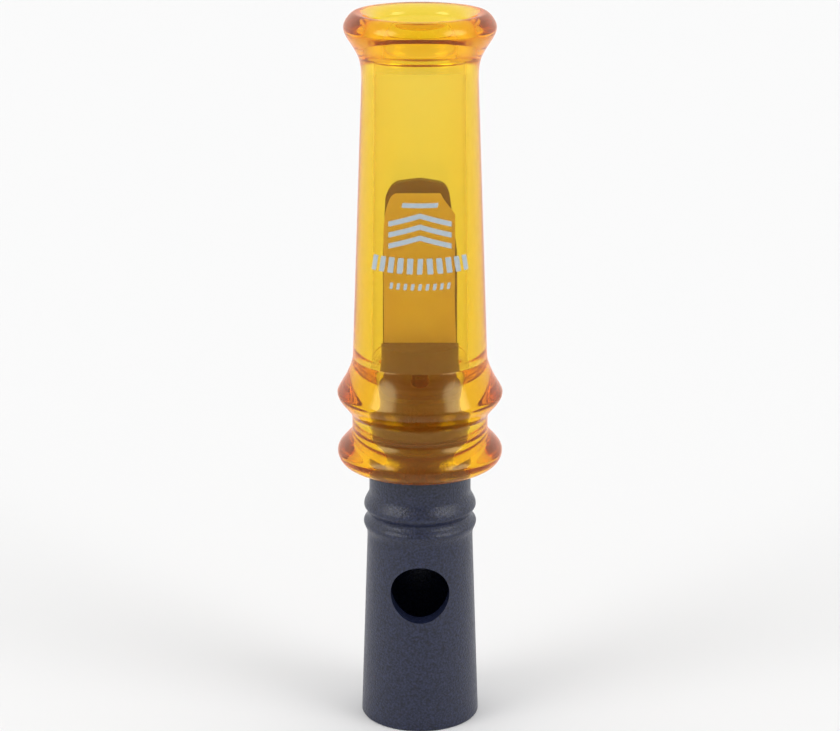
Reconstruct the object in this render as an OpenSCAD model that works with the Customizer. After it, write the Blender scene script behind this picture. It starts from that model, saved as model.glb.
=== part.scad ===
// Duck call: a clear barrel pushed over a stopper that carries a sounding board, a wedge and two reeds.
// Millimetres. +Z is up, along the call's axis, and z = 0 is the face of the exhaust end.
// The reeds lie in the plane y = 0 and face -Y, the side of the round hole in the stopper.

/* [Stopper] */
// Height of the shoulder that the barrel rests on
shoulder_z = 53.3; // [52:0.1:55]
// Radius of the exhaust end
base_r = 11.8; // [11.3:0.1:12.5]
// Radius of the neck under the barrel
neck_r = 10.05; // [9.9:0.05:10.2]
// Radius of the tenon inside the barrel
tenon_r = 9.38; // [9.2:0.02:9.4]
// Length of the tenon above the shoulder
tenon_l = 14.7; // [12:0.1:16]
// Radius of the exhaust bore
exhaust_r = 7.6; // [7.4:0.1:7.8]
// Radius of the round hole in the side
tone_hole_r = 5.8; // [4:0.1:6]
// Height of the middle of that hole
tone_hole_z = 28.8; // [24:0.1:32]

/* [Barrel] */
// Overall height of the call
overall_h = 142.3; // [140:0.1:146]
// Radius of the socket that takes the tenon
socket_r = 9.46; // [9.44:0.01:9.5]
// Radius of the chamber at its top end
chamber_top_r = 8.6; // [8.2:0.1:9.2]
// Radius of the mouth hole
throat_r = 7; // [6:0.1:7.5]
// Radius of the two beads
bead_r = 16.2; // [15:0.1:17]
// Radius of the groove between the beads
groove_r = 13.3; // [12.5:0.05:14]
// Radius of the flared lip
lip_r = 14.45; // [13.5:0.05:15]
// Narrowest outer radius, below the lip
waist_r = 11.1; // [10.8:0.05:11.5]

/* [Reeds and board] */
// Height of the board's tip
board_tip_z = 109.7; // [106:0.1:114]
// Width of the board
board_w = 14.7; // [14:0.1:15]
// Height of the wedge's upper end
wedge_top_z = 78.1; // [74:0.1:82]
// Height of the upper reed's tip
reed_tip_z = 107.7; // [104:0.1:109]
// Width of the upper reed
reed_w = 14.1; // [13.5:0.1:14.3]
// Thickness of the lower reed
lower_reed_t = 0.28; // [0.2:0.01:0.36]
// Thickness of the upper reed
upper_reed_t = 0.25; // [0.2:0.01:0.36]

/* [Hidden] */
$fn = 96;

curve_steps = 9;                 // straight steps in each curved stretch of an outline
edge = 0.5;                      // chamfer on moulded edges
base_round = 0.3;                // rounding of the exhaust end's outer edge
cut = 1;                         // how far a cutting shape runs past what it cuts

// Stopper outline, from the base up
taper_top = [10.5, 37.6];
lower_ring = [11.2, 40.9];
ring_groove = [10.2, 42.65];
upper_ring = [11.12, 44.45];
neck_z = 47.5;
tenon_top_z = shoulder_z + tenon_l;
seal_r = 0.5;                    // half the thickness of a seal's cord
seal_gap = 0.04;                 // space between a seal and the barrel's socket
seal_zs = [shoulder_z + 3.4, shoulder_z + 7];

// Barrel outline
lower_bead_z = 55.85;
upper_bead_z = 67.9;
upper_bead_bias = 0.62;          // below 1: the bead's upper side is full and its flare long
groove_z = [60.6, 62.7];
flare_z = 77;
flare_r = 12.95;
flare_edge_z = 75;               // the flare stops here, at a faint edge around the barrel
waist_z = 129.4;
lip_z = 139.6;
crest_r = 12.4;
lip_power = 1.5;                 // below 2: the lip's outside is flatter than an ellipse
lip_bias = 1.65;                 // above 1: the flare under the lip starts gently
bell = [9.2, 140.2];             // where the mouth's inside starts to curl out to the crest
throat_z = [136.1, 138.8];
chamber_top_z = 134.7;
bead_under_r = 13.65;            // where the lower bead's round end meets the end face
bead_under_h = 2.62;

// Board, wedge and reeds
board_root_z = 45;
board_gap = 0.02;                // space between the board or wedge and the exhaust bore
board_thick = 5.4;               // thickness of the board above the wedge
board_tip_thick = 2.2;
board_shoulder_z = 96;           // the board's sides are straight up to here
board_left_round = [-3.4, 105.8, 3.5];   // x, z and radius of the round at each corner of the tip
board_right_round = [3.3, 106.6, 2.6];
face_relief = 1.6;               // how far the board's face falls away at its tip
channel_w = 6.4;
channel_depth = 3.9;
channel_top_z = 103;
wedge_root_z = 50;
wedge_hole_r = 1.65;
wedge_hole_z = 71.8;
wedge_mark_z = 75.65;
reed_root_z = 52;
reed_gap = 0.09;                 // air between the board, the two reeds and the wedge
bend_gap = 0.05;                 // space between a reed's root and its blade
reed_curve_z = 99;               // the reeds' left edges curve in from here to the tip
reed_tip_x = [-4.6, 3.9];        // left and right ends of the tip
reed_clip = [6.1, 103.6];        // x and z where the straight cut at the right corner starts
reed_back = [0.25, 0.5];         // how much narrower (each side) and shorter the lower reed is
lower_reed_y = -reed_gap;
upper_reed_y = lower_reed_y - lower_reed_t - reed_gap;
wedge_y = upper_reed_y - upper_reed_t - reed_gap;

// An S-shaped stretch that leaves a and meets b along the axis. bias moves its steep part.
function s_curve(a, b, bias = 1) = [for (i = [0:curve_steps])
    let (t = i / curve_steps, s = 0.5 - 0.5 * cos(180 * pow(t, bias)))
    [a[0] + (b[0] - a[0]) * s, a[1] + (b[1] - a[1]) * t]];

// A quarter round from a point on the side to a point on the crest. power 2 is an ellipse.
function quarter(side, crest, power = 2) = [for (i = [0:curve_steps])
    let (a = 90 * i / curve_steps, u = pow(cos(a), 2 / power), v = pow(sin(a), 2 / power))
    [crest[0] + (side[0] - crest[0]) * u, side[1] + (crest[1] - side[1]) * v]];

function reversed(pts) = [for (i = [len(pts) - 1:-1:0]) pts[i]];

// Joins stretches into one outline, where an end point shared by two stretches counts once
function joined(parts) = let (pts = [for (p = parts) each p])
    [for (i = [0:len(pts) - 1]) if (i == 0 || norm(pts[i] - pts[i - 1]) > 0.001) pts[i]];

function barrel_outer() = joined([
    [for (p = reversed(quarter([bead_r, lower_bead_z], [bead_under_r, lower_bead_z - bead_under_h])))
        if (p[1] >= shoulder_z) p],
    s_curve([bead_r, lower_bead_z], [groove_r, groove_z[0]]),
    s_curve([groove_r, groove_z[1]], [bead_r, upper_bead_z]),
    [for (p = s_curve([bead_r, upper_bead_z], [flare_r, flare_z], upper_bead_bias))
        if (p[1] <= flare_edge_z) p],
    s_curve([waist_r, waist_z], [lip_r, lip_z], lip_bias),
    quarter([lip_r, lip_z], [crest_r, overall_h], lip_power),
    reversed(quarter(bell, [crest_r, overall_h])),
    [[throat_r, throat_z[1]]]
]);

module barrel() {
    end_r = bead_under_r + (bead_r - bead_under_r)
        * sqrt(1 - pow((lower_bead_z - shoulder_z) / bead_under_h, 2));
    color("orange", 0.6) rotate_extrude()
        polygon(concat([[socket_r + edge, shoulder_z], [end_r, shoulder_z]], barrel_outer(), [
            [throat_r, throat_z[0]],
            [chamber_top_r, chamber_top_z],
            [socket_r, tenon_top_z + 2 * cut],
            [socket_r, shoulder_z + edge]
        ]));
}

module stopper_outline() {
    polygon(joined([
        [[exhaust_r + 2 * edge, 0]],
        reversed(quarter([base_r, base_round], [base_r - base_round, 0])),
        [taper_top],
        s_curve([taper_top[0], taper_top[1] + edge], lower_ring, 1.4),
        s_curve(lower_ring, ring_groove),
        s_curve(ring_groove, upper_ring),
        s_curve(upper_ring, [neck_r, neck_z]),
        [[neck_r, shoulder_z], [tenon_r, shoulder_z], [tenon_r, tenon_top_z - edge],
         [tenon_r - edge, tenon_top_z], [exhaust_r, tenon_top_z], [exhaust_r, 2 * edge]]
    ]));
}

module stopper() {
    seal_in_r = socket_r - seal_gap - 2 * seal_r;
    color("slategray") difference() {
        rotate_extrude() stopper_outline();
        translate([0, 0, tone_hole_z]) rotate([90, 0, 0]) cylinder(r = tone_hole_r, h = base_r + cut);
        for (z = seal_zs) translate([0, 0, z - seal_r]) difference() {
            cylinder(r = tenon_r + cut, h = 2 * seal_r);
            translate([0, 0, -cut]) cylinder(r = seal_in_r, h = 2 * (seal_r + cut));
        }
    }
}

module tenon_seal(z) {
    color("dimgray") translate([0, 0, z]) rotate_extrude()
        translate([socket_r - seal_gap - seal_r, 0]) circle(r = seal_r - 0.01, $fn = 32);
}

// Front outline of the board: straight sides, then a tip with two unlike rounds and a low crown
module board_outline() {
    hull() {
        translate([-board_w / 2, board_root_z]) square([board_w, board_shoulder_z - board_root_z]);
        for (round = [board_left_round, board_right_round])
            translate([round[0], round[1]]) circle(r = round[2]);
        translate([-edge / 2, board_tip_z - edge]) square(edge);
    }
}

// Side outline of the board above the wedge: the face falls away in an arc and the back tapers
module board_side() {
    length = board_tip_z - wedge_top_z;
    face = [for (i = [0:curve_steps]) let (t = i / curve_steps)
        [face_relief * t * t, wedge_top_z + length * t]];
    polygon(concat([[0, board_root_z]], face, [
        [face_relief + board_tip_thick, board_tip_z],
        [board_thick, wedge_top_z + 6],
        [exhaust_r, wedge_top_z - 2],
        [exhaust_r, board_root_z]
    ]));
}

module tone_board() {
    color("slategray") difference() {
        intersection() {
            translate([0, 0, board_root_z]) cylinder(r = exhaust_r - board_gap, h = board_tip_z);
            translate([0, base_r, 0]) rotate([90, 0, 0]) linear_extrude(2 * base_r) board_outline();
            rotate([90, 0, 90]) linear_extrude(2 * base_r, center = true) board_side();
        }
        translate([-channel_w / 2, -cut, board_root_z - cut])
            cube([channel_w, channel_depth + cut, channel_top_z - channel_w / 2 - board_root_z + cut]);
        translate([0, channel_depth, channel_top_z - channel_w / 2]) rotate([90, 0, 0])
            cylinder(r = channel_w / 2, h = channel_depth + cut);
    }
}

module reed_wedge() {
    face_y = exhaust_r - board_gap;
    color("dimgray") difference() {
        intersection() {
            translate([0, 0, wedge_root_z]) rotate_extrude()
                polygon([[0, 0], [face_y, 0], [face_y, wedge_top_z - wedge_root_z - edge / 2],
                         [face_y - edge / 2, wedge_top_z - wedge_root_z], [0, wedge_top_z - wedge_root_z]]);
            translate([-base_r, wedge_y - base_r, 0]) cube([2 * base_r, base_r, overall_h]);
        }
        translate([0, -3.5, wedge_hole_z]) rotate([90, 0, 0]) cylinder(r = wedge_hole_r, h = base_r);
        translate([0, 0.15 - face_y, wedge_mark_z]) rotate([90, 0, 0])
            cylinder(r = wedge_hole_r, h = base_r);
    }
}

// A strip of reed film between the board and the wedge, with its front at y - t
module reed_strip(half, y, t) {
    translate([-half, y - t, reed_root_z]) cube([2 * half, t, wedge_top_z - reed_root_z]);
}

// The free part of a reed. back is how much narrower and shorter it is than the upper reed.
module reed_blade(y, t, back) {
    half = reed_w / 2 - back[0];
    low_z = wedge_top_z + bend_gap;
    tip_z = reed_tip_z - back[1];
    clip_x = back[0] > 0 ? half : reed_clip[0];
    left = [for (i = [0:curve_steps]) let (a = 90 * i / curve_steps)
        [reed_tip_x[0] + (-half - reed_tip_x[0]) * cos(a), reed_curve_z + (tip_z - reed_curve_z) * sin(a)]];
    translate([0, y, 0]) rotate([90, 0, 0]) linear_extrude(t)
        polygon(concat([[-half, low_z]], left,
                       [[reed_tip_x[1], tip_z], [clip_x, reed_clip[1]], [half, low_z]]));
}

module lower_reed_root() {
    color("khaki") reed_strip(reed_w / 2 - reed_back[0], lower_reed_y, lower_reed_t);
}

module lower_reed_blade() {
    color("khaki") reed_blade(lower_reed_y, lower_reed_t, reed_back);
}

module upper_reed_root() {
    color("wheat") reed_strip(reed_w / 2, upper_reed_y, upper_reed_t);
}

module upper_reed_blade() {
    color("wheat") reed_blade(upper_reed_y, upper_reed_t, [0, 0]);
}

barrel();
stopper();
tenon_seal(seal_zs[0]);  // tenon_seal_lower
tenon_seal(seal_zs[1]);  // tenon_seal_upper
tone_board();
reed_wedge();
lower_reed_root();
lower_reed_blade();
upper_reed_root();
upper_reed_blade();
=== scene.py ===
"""Looks of the duck call: clear amber barrel, matte blue-grey stopper, board, wedge and reeds."""

import math

import bmesh
import bpy
from mathutils import Matrix, Vector


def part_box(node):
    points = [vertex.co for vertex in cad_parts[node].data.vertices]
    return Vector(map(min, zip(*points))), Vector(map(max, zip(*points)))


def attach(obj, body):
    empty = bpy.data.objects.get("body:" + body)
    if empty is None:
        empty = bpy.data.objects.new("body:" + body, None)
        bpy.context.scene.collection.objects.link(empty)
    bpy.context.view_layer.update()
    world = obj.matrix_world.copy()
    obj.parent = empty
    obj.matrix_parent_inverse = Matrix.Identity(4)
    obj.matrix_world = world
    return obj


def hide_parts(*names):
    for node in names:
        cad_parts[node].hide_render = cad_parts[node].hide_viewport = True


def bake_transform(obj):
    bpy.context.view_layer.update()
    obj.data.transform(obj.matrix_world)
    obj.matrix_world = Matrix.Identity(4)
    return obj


MM = 0.001
X, Y, Z = 0, 1, 2

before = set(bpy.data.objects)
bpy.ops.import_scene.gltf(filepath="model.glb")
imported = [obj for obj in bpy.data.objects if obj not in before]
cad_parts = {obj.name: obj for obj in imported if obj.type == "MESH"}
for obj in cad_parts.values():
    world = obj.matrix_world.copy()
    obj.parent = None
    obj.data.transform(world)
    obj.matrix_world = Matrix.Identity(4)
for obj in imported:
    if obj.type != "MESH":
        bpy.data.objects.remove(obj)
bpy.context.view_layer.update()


# ---------------------------------------------------------------- sizes in mm

def low(node, axis):
    """Lowest coordinate of a CAD node along an axis, in mm."""
    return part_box(node)[0][axis] / MM


def high(node, axis):
    """Highest coordinate of a CAD node along an axis, in mm."""
    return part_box(node)[1][axis] / MM


FIT_GAP = 0.02    # space between the board or wedge and the bore

# These come from the frame.
OVERALL = high("barrel", Z)
SHOULDER = low("barrel", Z)
BEAD_R = high("barrel", X)
BASE_R = high("stopper", X)
TENON_TOP = high("stopper", Z)
BORE_R = high("tone_board", Y) + FIT_GAP
BOARD_TIP = high("tone_board", Z)
BOARD_ROOT = low("tone_board", Z)
BOARD_HALF = high("tone_board", X)
WEDGE_TOP = high("reed_wedge", Z)
WEDGE_ROOT = low("reed_wedge", Z)
WEDGE_Y = high("reed_wedge", Y)
REED_ROOT = low("lower_reed_root", Z)

# The rest follow part.scad. A pair is a radius and a height.
LOWER_BEAD = (BEAD_R, 55.85)
UPPER_BEAD = (BEAD_R, 67.9)
WAIST_LOW = (13.3, 60.6)
WAIST_HIGH = (13.3, 62.7)
END_ROUND_CREST = (13.65, 53.23)
END_FACE_INSET = 0.45
END_ROUND_CLEAR = 0.05
FLARE_AIM = (12.95, 77.0)
WALL_LOW = (13.11, 75.0)
WITNESS_DEPTH = 0.08
WALL_HIGH = (11.1, 129.4)
LIP_SIDE = (14.45, 139.6)
LIP_CREST = (12.4, OVERALL)
LIP_INSIDE = (9.2, 140.2)
THROAT_HIGH = (7.0, 138.8)
THROAT_LOW = (7.0, 136.1)
CHAMBER_TOP = (8.6, 134.7)
SOCKET_R = 9.46
SOCKET_TOP = (SOCKET_R, TENON_TOP + 2.0)

BASE_ROUND = 0.3
CONE_TOP = (10.5, 37.6)
RINGS_FOOT = (10.5, 38.1)
LOWER_RING = (11.2, 40.9)
RING_GAP = (10.2, 42.65)
UPPER_RING = (11.12, 44.45)
NECK_R = 10.05
NECK_LOW = (NECK_R, 47.5)
NECK_MIDDLE = (NECK_R, 50.0)
NECK_EDGE = 0.12
TENON_R = 9.38
CHAMFER = 0.5
BORE_CHAMFER = 1.0
SEALS = ("tenon_seal_lower", "tenon_seal_upper")
SEAL_SIZE = 1.0
SEAL_GAP = 0.04
TONE_HOLE_Z = 28.8
TONE_HOLE_R = 5.8

BOARD_STRAIGHT_TOP = 96.0
BOARD_TIP_FLAT = 0.3
BOARD_FACE_FALL = 1.6
BOARD_TIP_THICK = 2.2
BOARD_HEEL = (5.4, WEDGE_TOP + 6)       # y and height
BOARD_BACK = (BORE_R, WEDGE_TOP - 2)    # y and height
SLOT_HALF = 3.2
SLOT_TOP = 103
SLOT_FLOOR_Y = 3.9
PIN_R = 1.65
PIN_HOLE_Z = 71.8
PIN_HOLE_FLOOR_Y = -2.5
PIN_MARK_Z = 75.65
PIN_MARK_DEPTH = 0.15

REED_CURVE_Z = 99.0
REED_TIP_LEFT = 4.6
REED_CUT_Z = 103.6
REED_TIP_RIGHT = 3.9
LOWER_REED_CUT_X = 6.8
UPPER_REED_CUT_X = 6.1

LATHE_SEGMENTS = 192

# How far cutting shapes run: either side of the axis, past a flat face, past a round wall.
TOOL_REACH = 12
PAST_FACE = 1
PAST_WALL = 2


# ---------------------------------------------------------------- outlines, in mm

def s_curve(a, b, bias=1.0, steps=22):
    """An S-shaped stretch that leaves a and meets b along the axis."""
    points = []
    for i in range(steps + 1):
        t = i / steps
        s = 0.5 - 0.5 * math.cos(math.pi * t ** bias)
        points.append((a[0] + (b[0] - a[0]) * s, a[1] + (b[1] - a[1]) * t))
    return points


def quarter(side, crest, power=2.0, steps=18):
    """A quarter round from a point on the side to a point on the crest."""
    points = []
    for i in range(steps + 1):
        a = math.pi / 2 * i / steps
        u = max(math.cos(a), 0.0) ** (2 / power)
        v = max(math.sin(a), 0.0) ** (2 / power)
        points.append((crest[0] + (side[0] - crest[0]) * u, side[1] + (crest[1] - side[1]) * v))
    return points


def straight(a, b, steps):
    """Evenly spaced points from a to b."""
    return [(a[0] + (b[0] - a[0]) * i / steps, a[1] + (b[1] - a[1]) * i / steps)
            for i in range(steps + 1)]


def arc(centre, radius, start, end, steps=14):
    """Part of a circle, between two angles in degrees."""
    angles = [math.radians(start + (end - start) * i / steps) for i in range(steps + 1)]
    return [(centre[0] + radius * math.cos(a), centre[1] + radius * math.sin(a)) for a in angles]


def joined(*stretches):
    """One outline from several stretches, with shared end points counted once."""
    same = 1e-4
    points = []
    for stretch in stretches:
        for p in stretch:
            if not points or math.dist(p, points[-1]) > same:
                points.append(p)
    return points


def barrel_foot():
    """The barrel's end face and the round under its lower bead."""
    under = quarter(LOWER_BEAD, END_ROUND_CREST)
    end_round = [p for p in reversed(under) if p[1] > SHOULDER + END_ROUND_CLEAR]
    return [(end_round[0][0] - END_FACE_INSET, SHOULDER)] + end_round


def barrel_outer():
    """The barrel's outside, from its end face up to the crest of the lip."""
    flare = [p for p in s_curve(UPPER_BEAD, FLARE_AIM, bias=0.62) if p[1] <= WALL_LOW[1]]
    r, z = flare[-1]
    witness_line = [(r - WITNESS_DEPTH, z + 0.14), (r - 0.02, z + 0.3)]
    return joined(
        barrel_foot(),
        s_curve(LOWER_BEAD, WAIST_LOW),
        s_curve(WAIST_HIGH, UPPER_BEAD),
        flare,
        witness_line,
        straight(witness_line[-1], WALL_HIGH, steps=30),
        s_curve(WALL_HIGH, LIP_SIDE, bias=1.65),
        quarter(LIP_SIDE, LIP_CREST, power=1.5),
    )


def barrel_inner():
    """The barrel's inside, from the crest of the lip down to the socket's mouth."""
    return joined(
        reversed(quarter(LIP_INSIDE, LIP_CREST)),
        [THROAT_HIGH, THROAT_LOW],
        straight(CHAMBER_TOP, SOCKET_TOP, steps=16),
        [(SOCKET_R, SHOULDER + CHAMFER), (SOCKET_R + CHAMFER, SHOULDER)],
    )


def seal_grooves():
    """The tenon's outside with its two square grooves for the seals."""
    floor_r = SOCKET_R - SEAL_GAP - SEAL_SIZE
    points = [(TENON_R, SHOULDER)]
    for node in SEALS:
        middle = (low(node, Z) + high(node, Z)) / 2
        bottom, top = middle - SEAL_SIZE / 2, middle + SEAL_SIZE / 2
        points += [(TENON_R, bottom), (floor_r, bottom), (floor_r, top), (TENON_R, top)]
    return points


def stopper_outline():
    """The stopper's whole section: outside up to the tenon's top, then down the bore."""
    return joined(
        [(BORE_R + BORE_CHAMFER, 0.0)],
        reversed(quarter((BASE_R, BASE_ROUND), (BASE_R - BASE_ROUND, 0.0), steps=6)),
        straight((BASE_R, BASE_ROUND), CONE_TOP, steps=24),
        s_curve(RINGS_FOOT, LOWER_RING, bias=1.4, steps=12),
        s_curve(LOWER_RING, RING_GAP, steps=12),
        s_curve(RING_GAP, UPPER_RING, steps=12),
        s_curve(UPPER_RING, NECK_LOW, steps=14),
        [NECK_MIDDLE, (NECK_R, SHOULDER - NECK_EDGE), (NECK_R - NECK_EDGE, SHOULDER)],
        seal_grooves(),
        [(TENON_R, TENON_TOP - CHAMFER), (TENON_R - CHAMFER, TENON_TOP), (BORE_R, TENON_TOP)],
        straight((BORE_R, TENON_TOP), (BORE_R, BORE_CHAMFER), steps=24),
    )


def board_outline():
    """Front outline of the board: straight sides, then a tip with two unlike rounds."""
    return joined(
        [(-BOARD_HALF, BOARD_ROOT), (BOARD_HALF, BOARD_ROOT), (BOARD_HALF, BOARD_STRAIGHT_TOP)],
        arc(centre=(3.3, 106.6), radius=2.6, start=8, end=81),
        [(BOARD_TIP_FLAT, BOARD_TIP), (-BOARD_TIP_FLAT, BOARD_TIP)],
        arc(centre=(-3.4, 105.8), radius=3.5, start=97, end=177),
        [(-BOARD_HALF, BOARD_STRAIGHT_TOP)],
    )


def board_side():
    """Side outline of the board: its face falls away in an arc and its back tapers."""
    length, steps = BOARD_TIP - WEDGE_TOP, 20
    face = [(BOARD_FACE_FALL * (i / steps) ** 2, WEDGE_TOP + length * i / steps)
            for i in range(steps + 1)]
    return [(0.0, BOARD_ROOT)] + face + [
        (BOARD_FACE_FALL + BOARD_TIP_THICK, BOARD_TIP),
        BOARD_HEEL,
        BOARD_BACK,
        (BORE_R, BOARD_ROOT),
    ]


def slot_outline():
    """Front outline of the board's slot: open at the root, with a half round at the top."""
    centre, steps = SLOT_TOP - SLOT_HALF, 24
    angles = [math.pi * i / steps for i in range(steps + 1)]
    return [(-SLOT_HALF, BOARD_ROOT - PAST_FACE), (SLOT_HALF, BOARD_ROOT - PAST_FACE)] + [
        (SLOT_HALF * math.cos(a), centre + SLOT_HALF * math.sin(a)) for a in angles]


# ---------------------------------------------------------------- mesh tools

def new_object(name, bm):
    """An object from a bmesh in mm, with its faces turned outwards."""
    bmesh.ops.recalc_face_normals(bm, faces=bm.faces)
    bmesh.ops.scale(bm, vec=Vector((MM, MM, MM)), verts=bm.verts)
    mesh = bpy.data.meshes.new(name)
    bm.to_mesh(mesh)
    bm.free()
    obj = bpy.data.objects.new(name, mesh)
    bpy.context.scene.collection.objects.link(obj)
    return obj


def lathe(name, outline):
    """A closed ring-shaped solid from an outline of (radius, height), turned about Z."""
    bm = bmesh.new()
    turns = [2 * math.pi * k / LATHE_SEGMENTS for k in range(LATHE_SEGMENTS)]
    rings = [[bm.verts.new((r * math.cos(a), r * math.sin(a), z)) for a in turns]
             for r, z in outline]
    for i, ring in enumerate(rings):
        above = rings[(i + 1) % len(rings)]
        for k in range(LATHE_SEGMENTS):
            n = (k + 1) % LATHE_SEGMENTS
            bm.faces.new((ring[k], ring[n], above[n], above[k]))
    return new_object(name, bm)


def join_rings(bm, first, second):
    """A band of faces between two closed rings of as many points."""
    for i in range(len(first)):
        n = (i + 1) % len(first)
        bm.faces.new((first[i], first[n], second[n], second[i]))


def prism(name, outline, axis, start, end):
    """A solid from a flat outline, run along X or Y. The outline is (other axis, z)."""
    bm = bmesh.new()
    sides = []
    for at in (start, end):
        points = [(at, u, v) if axis == X else (u, at, v) for u, v in outline]
        sides.append([bm.verts.new(p) for p in points])
    join_rings(bm, *sides)
    for side in sides:
        bm.faces.new(side)
    return new_object(name, bm)


def rod(name, radius, start, end, segments=96):
    """A round bar between two points, in mm."""
    bm = bmesh.new()
    a, b = Vector(start), Vector(end)
    turn = (b - a).to_track_quat("Z", "Y").to_matrix().to_4x4()
    place = Matrix.Translation((a + b) / 2) @ turn
    bmesh.ops.create_cone(bm, cap_ends=True, segments=segments, radius1=radius,
                          radius2=radius, depth=(b - a).length, matrix=place)
    return new_object(name, bm)


def bake_modifiers(obj):
    """Replaces the object's mesh with what its modifiers make of it."""
    bpy.context.view_layer.update()
    view = bpy.context.evaluated_depsgraph_get()
    made = bpy.data.meshes.new_from_object(obj.evaluated_get(view))
    obj.modifiers.clear()
    obj.data = made


def carve(obj, *tools, operation="DIFFERENCE"):
    """Cuts tools out of obj, or keeps only what is inside them, and removes the tools."""
    for tool in tools:
        m = obj.modifiers.new("carve", "BOOLEAN")
        m.operation = operation
        m.solver = "EXACT"
        m.object = tool
        bake_modifiers(obj)
        bpy.data.objects.remove(tool)


def round_edges(obj, width):
    """Rounds every edge sharper than 30 degrees. width is in mm."""
    m = obj.modifiers.new("round", "BEVEL")
    m.width = width * MM
    m.segments = 3
    m.limit_method = "ANGLE"
    m.angle_limit = math.radians(30)
    m.use_clamp_overlap = True
    bake_modifiers(obj)


def smooth(obj, angle):
    """Smooth shading, with edges over the angle kept sharp."""
    obj.data.polygons.foreach_set("use_smooth", [True] * len(obj.data.polygons))
    obj.data.set_sharp_from_angle(angle=math.radians(angle))
    obj.data.update()


# ---------------------------------------------------------------- materials

def set_inputs(node, values):
    """Sets a node's inputs by name, with _ for a space."""
    for socket, value in values.items():
        node.inputs[socket.replace("_", " ")].default_value = value


def new_node(tree, kind, **values):
    """A node with some of its inputs set."""
    node = tree.nodes.new("ShaderNode" + kind)
    set_inputs(node, values)
    return node


def shader(name, **values):
    """A new material, its node tree and its Principled shader."""
    material = bpy.data.materials.new(name)
    material.use_nodes = True
    principled = material.node_tree.nodes["Principled BSDF"]
    set_inputs(principled, values)
    return material, material.node_tree, principled


def noise(tree, scale, detail, roughness, stretch=(1, 1, 1)):
    """Noise in the object's own coordinates, with scale in cycles per metre."""
    place = new_node(tree, "TexCoord")
    mapping = new_node(tree, "Mapping", Scale=stretch)
    texture = new_node(tree, "TexNoise", Scale=scale, Detail=detail, Roughness=roughness)
    tree.links.new(place.outputs["Object"], mapping.inputs["Vector"])
    tree.links.new(mapping.outputs["Vector"], texture.inputs["Vector"])
    return texture.outputs["Fac"]


def ramp(tree, source, target, *stops):
    """A colour ramp from a value to an input. stops are (position, colour or grey)."""
    node = new_node(tree, "ValToRGB")
    while len(node.color_ramp.elements) < len(stops):
        node.color_ramp.elements.new(0.5)
    for element, (at, colour) in zip(node.color_ramp.elements, stops):
        element.position = at
        rgb = (colour,) * 3 if isinstance(colour, float) else colour
        element.color = (*rgb, 1.0)
    tree.links.new(source, node.inputs["Fac"])
    tree.links.new(node.outputs["Color"], target)


def bump(tree, principled, height, strength, distance):
    """A fine surface relief, with distance in metres."""
    node = new_node(tree, "Bump", Strength=strength, Distance=distance)
    tree.links.new(height, node.inputs["Height"])
    tree.links.new(node.outputs["Normal"], principled.inputs["Normal"])


def amber_material():
    """Clear amber plastic: its colour comes from how far light runs through it."""
    material, tree, clear = shader("clear_amber", Base_Color=(1, 1, 1, 1), IOR=1.55,
                                   Transmission_Weight=1.0, Specular_Tint=(1, 0.85, 0.45, 1))
    haze = noise(tree, scale=420, detail=5, roughness=0.55)
    ramp(tree, haze, clear.inputs["Roughness"], (0.35, 0.01), (0.75, 0.045))
    ripple = noise(tree, scale=160, detail=2, roughness=0.4, stretch=(1, 1, 0.35))
    bump(tree, clear, ripple, strength=0.12, distance=0.00008)

    # A little scattered orange, more of it where the wall is seen edge on.
    scatter = new_node(tree, "BsdfDiffuse", Color=(0.97, 0.23, 0.02, 1))
    edge = new_node(tree, "LayerWeight", Blend=0.5)
    mix = new_node(tree, "MixShader")
    ramp(tree, edge.outputs["Facing"], mix.inputs["Fac"],
         (0.0, 0.075), (0.6, 0.1), (0.88, 0.3), (1.0, 0.65))
    tree.links.new(clear.outputs["BSDF"], mix.inputs[1])
    tree.links.new(scatter.outputs["BSDF"], mix.inputs[2])

    absorb = new_node(tree, "VolumeAbsorption", Color=(0.995, 0.92, 0.0, 1), Density=500)
    output = tree.nodes["Material Output"]
    tree.links.new(mix.outputs["Shader"], output.inputs["Surface"])
    tree.links.new(absorb.outputs["Volume"], output.inputs["Volume"])
    return material


def moulded_material(name, dark, light, roughness, grain):
    """Matte moulded plastic with a fine spark-eroded grain and faint mottling."""
    material, tree, p = shader(name, IOR=1.5)
    spread = 0.06
    mottle = noise(tree, scale=2400, detail=2, roughness=0.6)
    ramp(tree, mottle, p.inputs["Base Color"], (0.36, dark), (0.66, light))
    wear = noise(tree, scale=900, detail=3, roughness=0.5)
    ramp(tree, wear, p.inputs["Roughness"], (0.3, roughness - spread), (0.7, roughness + spread))
    relief = noise(tree, scale=2600, detail=2, roughness=0.6)
    bump(tree, p, relief, strength=grain, distance=0.00012)
    return material


def rubber_material():
    """Black rubber with a dull bloom."""
    material, tree, p = shader("seal_rubber", IOR=1.52)
    bloom = noise(tree, scale=1500, detail=4, roughness=0.6)
    ramp(tree, bloom, p.inputs["Base Color"],
         (0.3, (0.012, 0.012, 0.014)), (0.75, (0.03, 0.03, 0.033)))
    ramp(tree, bloom, p.inputs["Roughness"], (0.3, 0.45), (0.7, 0.7))
    return material


def film_material():
    """Frosted plastic film, which lets a little light through."""
    material, tree, p = shader("reed_film", IOR=1.6, Transmission_Weight=0.04)
    cloud = noise(tree, scale=180, detail=4, roughness=0.6)
    ramp(tree, cloud, p.inputs["Base Color"], (0.3, (0.95, 0.74, 0.5)), (0.7, (1.0, 0.8, 0.58)))
    brushed = noise(tree, scale=2600, detail=3, roughness=0.6, stretch=(1, 1, 0.08))
    ramp(tree, brushed, p.inputs["Roughness"], (0.3, 0.38), (0.7, 0.55))
    bump(tree, p, brushed, strength=0.15, distance=0.00002)
    return material


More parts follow.
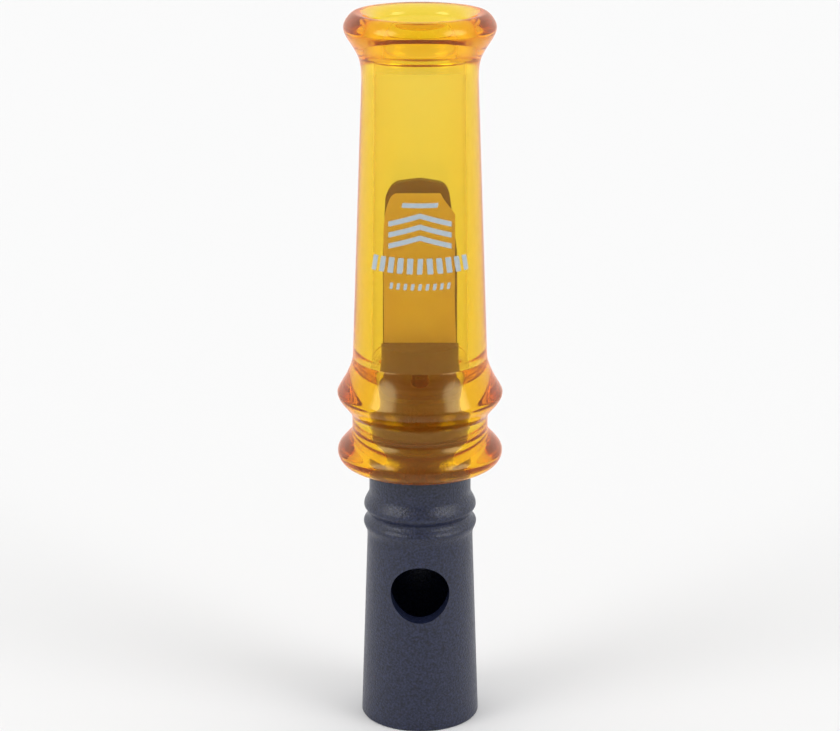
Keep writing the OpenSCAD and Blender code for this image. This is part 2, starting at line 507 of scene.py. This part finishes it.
def print_material():
    """Pale blue-grey pad-print ink, with slightly thin patches."""
    material, tree, p = shader("print_ink", IOR=1.45)
    patch = noise(tree, scale=1400, detail=4, roughness=0.6)
    ramp(tree, patch, p.inputs["Base Color"],
         (0.3, (0.38, 0.44, 0.47)), (0.7, (0.43, 0.49, 0.53)))
    ramp(tree, patch, p.inputs["Roughness"], (0.3, 0.4), (0.7, 0.55))
    return material


# ---------------------------------------------------------------- pieces

def put(obj, body, slot, material, *nodes):
    """Gives a piece its material and, where named, hides the CAD nodes it stands in for and puts it
    under its body. slot is not used.
    """
    obj.data.materials.clear()
    obj.data.materials.append(material)
    if nodes:
        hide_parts(*nodes)
    if body:
        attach(obj, body)


def make_barrel(material):
    obj = lathe("barrel_shell", joined(barrel_outer(), barrel_inner()))
    smooth(obj, angle=32)
    put(obj, "barrel", "clear_amber", material, "barrel")


def make_stopper(material):
    obj = lathe("stopper_moulding", stopper_outline())
    hole_end = (0, -BASE_R - PAST_WALL, TONE_HOLE_Z)
    carve(obj, rod("hole_tool", TONE_HOLE_R, (0, 0, TONE_HOLE_Z), hole_end))
    smooth(obj, angle=32)
    put(obj, "stopper", "grey_plastic", material, "stopper")


def make_board(material):
    obj = rod("tone_board_moulding", BORE_R - FIT_GAP, (0, 0, BOARD_ROOT),
              (0, 0, BOARD_TIP + PAST_WALL), segments=160)
    carve(obj, prism("plan_tool", board_outline(), Y, -TOOL_REACH, TOOL_REACH),
          prism("side_tool", board_side(), X, -TOOL_REACH, TOOL_REACH), operation="INTERSECT")
    carve(obj, prism("slot_tool", slot_outline(), Y, -PAST_FACE, SLOT_FLOOR_Y))
    round_edges(obj, width=0.18)
    smooth(obj, angle=40)
    put(obj, "stopper", "board_plastic", material, "tone_board")


def make_wedge(material):
    r = BORE_R - FIT_GAP
    outside = -r - PAST_WALL
    obj = rod("reed_wedge_block", r, (0, 0, WEDGE_ROOT), (0, 0, WEDGE_TOP),
              segments=LATHE_SEGMENTS)
    bottom, top = WEDGE_ROOT - PAST_FACE, WEDGE_TOP + PAST_FACE
    half_space = [(WEDGE_Y, bottom), (WEDGE_Y, top), (outside, top), (outside, bottom)]
    carve(obj, prism("half_tool", half_space, X, -TOOL_REACH, TOOL_REACH), operation="INTERSECT")
    round_edges(obj, width=0.22)
    for name, floor_y, z in (("hole_tool", PIN_HOLE_FLOOR_Y, PIN_HOLE_Z),
                             ("mark_tool", PIN_MARK_DEPTH - r, PIN_MARK_Z)):
        carve(obj, rod(name, PIN_R, (0, floor_y, z), (0, outside, z), segments=48))
    smooth(obj, angle=35)
    put(obj, "stopper", "wedge_plastic", material, "reed_wedge")


# ---------------------------------------------------------------- reeds

def reed_left(z, half, tip):
    """Left edge of a reed at a height: straight, then a curve in to the tip."""
    t = min(max((z - REED_CURVE_Z) / (tip - REED_CURVE_Z), 0.0), 1.0)
    return -REED_TIP_LEFT + (REED_TIP_LEFT - half) * math.sqrt(1 - t * t)


def reed_right(z, half, tip, cut_x):
    """Right edge of a reed at a height: a slow taper, then a straight cut to the tip."""
    if z < WEDGE_TOP:
        return half
    if z < REED_CUT_Z:
        return half + (cut_x - half) * (z - WEDGE_TOP) / (REED_CUT_Z - WEDGE_TOP)
    return cut_x + (REED_TIP_RIGHT - cut_x) * (z - REED_CUT_Z) / (tip - REED_CUT_Z)


def reed_grid(bm, y, half, tip, cut_x):
    """Rows of points over one side of a reed, from its root up to its tip."""
    height_steps, width_steps = 140, 10
    grid = []
    for i in range(height_steps + 1):
        z = REED_ROOT + (tip - REED_ROOT) * i / height_steps
        left, right = reed_left(z, half, tip), reed_right(z, half, tip, cut_x)
        shares = [j / width_steps for j in range(width_steps + 1)]
        grid.append([bm.verts.new((left + (right - left) * share, y, z)) for share in shares])
    return grid


def fill_grid(bm, grid):
    """Faces over a grid of points."""
    for row, above in zip(grid, grid[1:]):
        for j in range(len(row) - 1):
            bm.faces.new((row[j], row[j + 1], above[j + 1], above[j]))


def grid_rim(grid):
    """The points round the edge of a grid, in order."""
    right = [row[-1] for row in grid[1:-1]]
    left = [row[0] for row in grid[-2:0:-1]]
    return grid[0] + right + grid[-1][::-1] + left


def make_reed(name, root_node, blade_node, cut_x, material):
    """One flat strip of film, from inside the wedge to its tip."""
    half, tip = -low(blade_node, X), high(blade_node, Z)
    bm = bmesh.new()
    grids = [reed_grid(bm, y, half, tip, cut_x) for y in (low(blade_node, Y), high(blade_node, Y))]
    for grid in grids:
        fill_grid(bm, grid)
    join_rings(bm, *[grid_rim(grid) for grid in grids])
    obj = new_object(name, bm)
    smooth(obj, angle=30)
    put(obj, None, "reed_film", material, root_node, blade_node)
    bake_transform(obj)


# ---------------------------------------------------------------- print on the barrel

INK_IN, INK_OUT = -0.01, 0.03    # below and above the barrel's surface
INK_THINNEST = 0.02
INK_STEP = 0.2
UPRIGHT = 0.01                   # the slant of an upright bar, as its shape is divided by it
CHEVRON_HALF, CHEVRON_RISE, CHEVRON_THICK, CHEVRON_STEPS = 6.2, 1.9, 1.0, 16
CHEVRON_MIDDLES = (105.4, 103.3, 101.2)
STRIPE_PITCH, STRIPE_HALF, STRIPE_SLANT = 1.95, 0.6, -0.13
DASH_PITCH, DASH_HALF = 1.4, 0.42


def barrel_radius(z):
    """Outer radius of the barrel at a height on its straight taper."""
    share = (z - WALL_LOW[1]) / (WALL_HIGH[1] - WALL_LOW[1])
    return WALL_LOW[0] + (WALL_HIGH[0] - WALL_LOW[0]) * share


def ink_patch(bm, columns):
    """A thin raised patch around the barrel's front. columns are (distance round, low z, high z)."""
    rings = []
    for s, z0, z1 in columns:
        ring = []
        for lift, z in ((INK_IN, z0), (INK_OUT, z0), (INK_OUT, z1), (INK_IN, z1)):
            angle, r = s / barrel_radius(z), barrel_radius(z) + lift
            ring.append(bm.verts.new((r * math.sin(angle), -r * math.cos(angle), z)))
        rings.append(ring)
    for a, b in zip(rings, rings[1:]):
        join_rings(bm, a, b)
    bm.faces.new(rings[0])
    bm.faces.new(rings[-1])


def ink_bar(bm, left, right, bottom, top, slant=UPRIGHT):
    """A bar of ink whose top stands slant further round than its bottom."""
    start, end = min(left, left + slant), max(right, right + slant)
    steps = max(4, round((end - start) / INK_STEP))
    columns = []
    for i in range(steps + 1):
        s = start + (end - start) * i / steps
        ways = sorted(((s - left) / slant, (s - right) / slant))
        low_share, high_share = (min(max(way, 0.0), 1.0) for way in ways)
        low_z, high_z = (bottom + (top - bottom) * share for share in (low_share, high_share))
        columns.append((s, low_z, high_z + INK_THINNEST))
    ink_patch(bm, columns)


def ink_chevron(bm, middle):
    """A chevron of ink pointing up."""
    half, steps = CHEVRON_HALF, CHEVRON_STEPS
    columns = []
    for s in (-half + 2 * half * i / steps for i in range(steps + 1)):
        z = middle - CHEVRON_RISE * abs(s) / half
        columns.append((s, z, z + CHEVRON_THICK))
    ink_patch(bm, columns)


def make_print(material):
    """A plain pattern of ink: a bar, three chevrons, a row of slanted stripes and a row of dashes."""
    bm = bmesh.new()
    ink_bar(bm, left=-3.5, right=3.5, bottom=107.4, top=108.3)
    for middle in CHEVRON_MIDDLES:
        ink_chevron(bm, middle)
    for i in range(-5, 6):
        at = STRIPE_PITCH * i
        ink_bar(bm, at - STRIPE_HALF, at + STRIPE_HALF, bottom=94.7, top=97.7,
                slant=STRIPE_SLANT * i or UPRIGHT)
    for i in range(-4, 5):
        at = DASH_PITCH * i
        ink_bar(bm, at - DASH_HALF, at + DASH_HALF, bottom=91.6, top=92.8)
    obj = new_object("front_print", bm)
    smooth(obj, angle=30)
    put(obj, "barrel", None, material)


def make_pieces():
    make_barrel(amber_material())
    make_stopper(moulded_material("grey_plastic", dark=(0.001, 0.003, 0.014),
                                  light=(0.02, 0.026, 0.067), roughness=0.34, grain=1.0))
    make_board(moulded_material("board_plastic", dark=(0.04, 0.032, 0.03),
                                light=(0.052, 0.042, 0.04), roughness=0.5, grain=0.4))
    make_wedge(moulded_material("wedge_plastic", dark=(0.042, 0.034, 0.04),
                                light=(0.056, 0.046, 0.052), roughness=0.5, grain=0.4))
    film = film_material()
    make_reed("lower_reed_film", "lower_reed_root", "lower_reed_blade",
              LOWER_REED_CUT_X, film)
    make_reed("upper_reed_film", "upper_reed_root", "upper_reed_blade",
              UPPER_REED_CUT_X, film)
    make_print(print_material())
    rubber = rubber_material()
    for node in SEALS:
        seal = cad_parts[node]
        seal.data.materials.clear()
        seal.data.materials.append(rubber)


# ---------------------------------------------------------------- stage, light and camera

# Azimuths are in degrees from the front, towards +X. Elevations are in degrees.
GLOWS = (
    dict(azimuth=-57, elevation=27, tightness=9, strength=0.72),
    dict(azimuth=57, elevation=27, tightness=9, strength=0.72),
    dict(azimuth=180, elevation=20, tightness=1.2, strength=0.61),
    dict(azimuth=0, elevation=90, tightness=1.5, strength=0.445),
    dict(azimuth=-110, elevation=0, tightness=3, strength=0.7),
    dict(azimuth=110, elevation=0, tightness=3, strength=0.7),
)
SOFTBOXES = (
    dict(azimuth=-59, elevation=30, inner=8, outer=21, strength=4.0),
    dict(azimuth=59, elevation=30, inner=8, outer=21, strength=4.0),
)
BASE_GLOW = 0.215

FLOOR_HALF = 3000
CAMERA_PLACE = (0, -0.460, 0.21467)
CAMERA_DOWN = 17.122
CAMERA_LENS = 105.4
MOST_BOUNCES = 24


def make_stage():
    bm = bmesh.new()
    bmesh.ops.create_grid(bm, x_segments=1, y_segments=1, size=FLOOR_HALF)
    floor = new_object("floor", bm)
    paper = shader("floor_paper", Base_Color=(0.8, 0.8, 0.8, 1), Roughness=0.9)[0]
    floor.data.materials.append(paper)


def maths(tree, operation, a, b):
    """The output of a Math node. a and b are numbers or other outputs."""
    node = new_node(tree, "Math")
    node.operation = operation
    for socket, value in zip(node.inputs, (a, b)):
        if isinstance(value, (int, float)):
            socket.default_value = value
        else:
            tree.links.new(value, socket)
    return node.outputs["Value"]


def closeness(tree, azimuth, elevation):
    """How near the view into the world is to a direction, as the cosine of the angle between."""
    a, e = math.radians(azimuth), math.radians(elevation)
    way = new_node(tree, "TexCoord")
    dot = new_node(tree, "VectorMath")
    dot.operation = "DOT_PRODUCT"
    dot.inputs[1].default_value = (math.sin(a) * math.cos(e), -math.cos(a) * math.cos(e), math.sin(e))
    tree.links.new(way.outputs["Generated"], dot.inputs[0])
    return dot.outputs["Value"]


def glow(tree, azimuth, elevation, tightness, strength):
    """A broad glow that fades smoothly away from its direction."""
    ahead = maths(tree, "MAXIMUM", closeness(tree, azimuth, elevation), 0.0)
    return maths(tree, "MULTIPLY", maths(tree, "POWER", ahead, tightness), strength)


def softbox(tree, azimuth, elevation, inner, outer, strength):
    """A round softbox, even out to the inner angle and dark from the outer angle."""
    fade = new_node(tree, "MapRange")
    fade.interpolation_type = "SMOOTHSTEP"
    fade.inputs["From Min"].default_value = math.cos(math.radians(outer))
    fade.inputs["From Max"].default_value = math.cos(math.radians(inner))
    fade.inputs["To Max"].default_value = strength
    tree.links.new(closeness(tree, azimuth, elevation), fade.inputs["Value"])
    return fade.outputs["Result"]


def make_world():
    """A soft studio: a softbox and a glow on each side, and pale light behind and above."""
    world = bpy.data.worlds.new("studio")
    world.use_nodes = True
    tree = world.node_tree
    lights = [glow(tree, **g) for g in GLOWS] + [softbox(tree, **s) for s in SOFTBOXES]
    total = lights[0]
    for light in lights[1:] + [BASE_GLOW]:
        total = maths(tree, "ADD", total, light)
    background = tree.nodes["Background"]
    background.inputs["Color"].default_value = (1, 1, 1, 1)
    tree.links.new(total, background.inputs["Strength"])
    bpy.context.scene.world = world


def make_camera():
    data = bpy.data.cameras.new("camera")
    data.sensor_width = 36
    data.lens = CAMERA_LENS
    data.clip_start = 0.01
    obj = bpy.data.objects.new("camera", data)
    obj.location = CAMERA_PLACE
    obj.rotation_euler = (math.radians(90 - CAMERA_DOWN), 0, 0)
    bpy.context.scene.collection.objects.link(obj)
    bpy.context.scene.camera = obj


def set_light_paths():
    """Enough bounces for light to cross the clear walls, and plain colours."""
    scene = bpy.context.scene
    scene.view_settings.view_transform = "Standard"
    scene.cycles.use_denoising = True
    scene.cycles.max_bounces = MOST_BOUNCES
    scene.cycles.transmission_bounces = MOST_BOUNCES
    scene.cycles.transparent_max_bounces = MOST_BOUNCES


make_pieces()
make_stage()
make_world()
make_camera()
set_light_paths()
